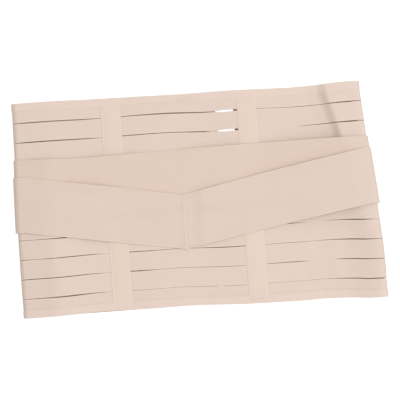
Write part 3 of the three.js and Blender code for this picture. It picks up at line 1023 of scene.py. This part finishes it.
def elastic(name, colour, rib, pick, rib_depth, pick_depth):
    """Ribs along and picks across from the cloth's layout, with soft mottling and fuzz. The ribs stagger the
    picks, so that they sit as a knit's loops do."""
    material, tree, shader = new_finish(name, SHEEN)
    along = join(tree, "ShaderNodeSeparateXYZ", join(tree, "ShaderNodeUVMap", uv_map="cloth"))
    across = along.node.outputs[1]
    mottle, fuzz = noise(tree, MOTTLE), noise(tree, FUZZ)
    ribs = wave(tree, across, rib)
    picks = wave(tree, along, pick, calc(tree, "MULTIPLY", ribs, STAGGER))
    height = calc(tree, "MULTIPLY_ADD", ribs, rib_depth, calc(tree, "MULTIPLY", picks, pick_depth))
    height = calc(tree, "MULTIPLY_ADD", fuzz, FUZZ.depth, height)
    bump = join(tree, "ShaderNodeBump", BUMP_STRENGTH, BUMP_DEPTH, None, height)
    tree.links.new(bump, shader.inputs["Normal"])
    edge = join(tree, "ShaderNodeAttribute", attribute_name="edge").node.outputs["Fac"]
    shade = calc(tree, "MULTIPLY_ADD", mottle, MOTTLE.spread, 1 - MOTTLE.spread / 2)
    # painted shade: the weave's grooves are painted darker and its ribs lighter, with the fuzz adding a
    # random tone
    shade = calc(tree, "MULTIPLY_ADD", height, WEAVE_PAINTED_SHADE, shade)
    # the edge attribute: painted highlight along the edges, paler hems, and a painted shade line by the
    # bottom hem
    shade = calc(tree, "MULTIPLY_ADD", edge, EDGE_HIGHLIGHT_AND_SHADE_TINT, shade)
    paint(tree, shader, colour, shade, calc(tree, "MULTIPLY_ADD", fuzz, FUZZ.rough_spread, FUZZ.rough))
    return material


BAND_WEAVE = {"rib": 0.8, "pick": 0.6, "rib_depth": 0.4, "pick_depth": 0.6}
body_elastic = elastic(
    "body_elastic", (0.735, 0.600, 0.520), rib=0.9, pick=0.7, rib_depth=0.7, pick_depth=0.4
)
waist_webbing = elastic("waist_webbing", (0.732, 0.580, 0.484), **BAND_WEAVE)
v_webbing = elastic("v_webbing", (0.729, 0.592, 0.512), **BAND_WEAVE)
woven_tape = elastic("woven_tape", (0.762, 0.622, 0.528), rib=0.7, pick=0.7, rib_depth=0.5, pick_depth=0.5)
print("cloth:", [cloth.name for cloth in (body_elastic, waist_webbing, v_webbing, woven_tape)])

# %% Thread
FLECK = SimpleNamespace(scale=2200.0, detail=2.0, spread=0.16, rough=0.55, rough_spread=0.2)


def spun_thread(name, colour):
    """Spun polyester thread: a little glossier than the cloth, its colour flecked by a fine noise."""
    material, tree, shader = new_finish(name, {})
    fleck = noise(tree, FLECK)
    shade = calc(tree, "MULTIPLY_ADD", fleck, FLECK.spread, 1 - FLECK.spread / 2)
    paint(tree, shader, colour, shade, calc(tree, "MULTIPLY_ADD", fleck, FLECK.rough_spread, FLECK.rough))
    return material


thread = spun_thread("thread", (0.74, 0.60, 0.52))
print("thread:", thread.name)

# %% [markdown]
# ## Who stands for what
# Each piece hides the plain solid that it stands for, moves with the belt's one body, and takes its finish.
# The threads go with their cloth.


def settle_in(piece, material, node=None):
    """Gives a piece its finish and its body, and hides the solid it stands for."""
    piece.data.materials.append(material)
    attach(piece, "root")
    if node:
        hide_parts(node)


for index, (piece, length) in enumerate(zip(strips, strip_lengths)):
    settle_in(piece, body_elastic, f"strip_{index + 1:02d}")
settle_in(waist_band, waist_webbing, "waist_band")
settle_in(v_join, v_webbing, "v_seam")
for side in SIDES:
    settle_in(v_arms[side], v_webbing, f"v_band_{side}")
    settle_in(stays[side], woven_tape, f"stay_tape_{side}")
    settle_in(bindings[side], woven_tape, f"end_binding_{side}")
for piece in [*hem_stitching.values(), *stay_stitching.values(), join_stitching, *tack_pieces.values()]:
    settle_in(piece, thread)

# %% [markdown]
# ## Floor, light and camera
# The floor is pale and glows faintly, as a lit table does, so it stays bright through the slits. A sun
# would draw hard shadows, so a broad lamp on the right shows the folds. The sky fills in, and is a little
# warmer than the lamp, so cloth in shade looks warmer too. The camera looks straight down, turned a little.

# %% Floor
FLOOR_SIZE, FLOOR_DROP = 6.0, 0.0005
FLOOR_GLOW = {
    "Base Color": (0.3, 0.3, 0.3, 1),
    "Roughness": 0.9,
    "Specular IOR Level": 0.1,
    "Emission Color": (1, 1, 1, 1),
    "Emission Strength": 0.9,
}


def pale_floor():
    """A wide square just under the belt, with a matt finish that glows."""
    half = FLOOR_SIZE / 2
    corners = np.array([[-1, -1], [1, -1], [1, 1], [-1, 1]]) * half
    mesh = bpy.data.meshes.new("floor")
    mesh.from_pydata([(x, y, -FLOOR_DROP) for x, y in corners], [], [(0, 1, 2, 3)])
    floor = bpy.data.objects.new("floor", mesh)
    scene.collection.objects.link(floor)
    mesh.materials.append(new_finish("pale_floor", FLOOR_GLOW)[0])
    floor.visible_diffuse = False
    return floor


print("floor at", round(-FLOOR_DROP / MM, 2), "mm:", pale_floor().name)

# %% Light
SKY, SKY_COLOUR = 0.66, (1, 0.965, 0.94, 1)
LAMP_POWER, LAMP_SIZE, LAMP_AWAY = 81.4, 1.6, 4.0
LAMP_COLOUR = (0.917, 0.966, 1)
LAMP_HEIGHT = math.radians(66)
LAMP_UP_BELT = 0.1

world = bpy.data.worlds.new("studio")
world.use_nodes = True
world.node_tree.nodes["Background"].inputs["Color"].default_value = SKY_COLOUR
world.node_tree.nodes["Background"].inputs["Strength"].default_value = SKY
scene.world = world
lamp = bpy.data.objects.new("lamp", bpy.data.lights.new("lamp", "AREA"))
lamp.data.energy, lamp.data.color, lamp.data.size = LAMP_POWER, LAMP_COLOUR, LAMP_SIZE
lamp.location = (LAMP_AWAY * math.cos(LAMP_HEIGHT), LAMP_UP_BELT, LAMP_AWAY * math.sin(LAMP_HEIGHT))
lamp.rotation_euler = (0, math.pi / 2 - LAMP_HEIGHT, 0)
scene.collection.objects.link(lamp)
scene.view_settings.view_transform = "Standard"
print("lamp at", np.round(lamp.location, 2).tolist())

# %% Camera
CAMERA_UP = 2.5
VIEW_ACROSS = 0.432
TURN = math.radians(-3.7)
LOOK_AT = (0.00226, -0.00015)
MID_HEIGHT = 0.0145

camera = bpy.data.objects.new("camera", bpy.data.cameras.new("camera"))
camera.location = (*LOOK_AT, CAMERA_UP)
camera.rotation_euler = (0, 0, TURN)
camera.data.angle = 2 * math.atan(VIEW_ACROSS / 2 / (CAMERA_UP - MID_HEIGHT))
scene.collection.objects.link(camera)
scene.camera = camera
print("camera sees", round(VIEW_ACROSS / MM), "mm across")
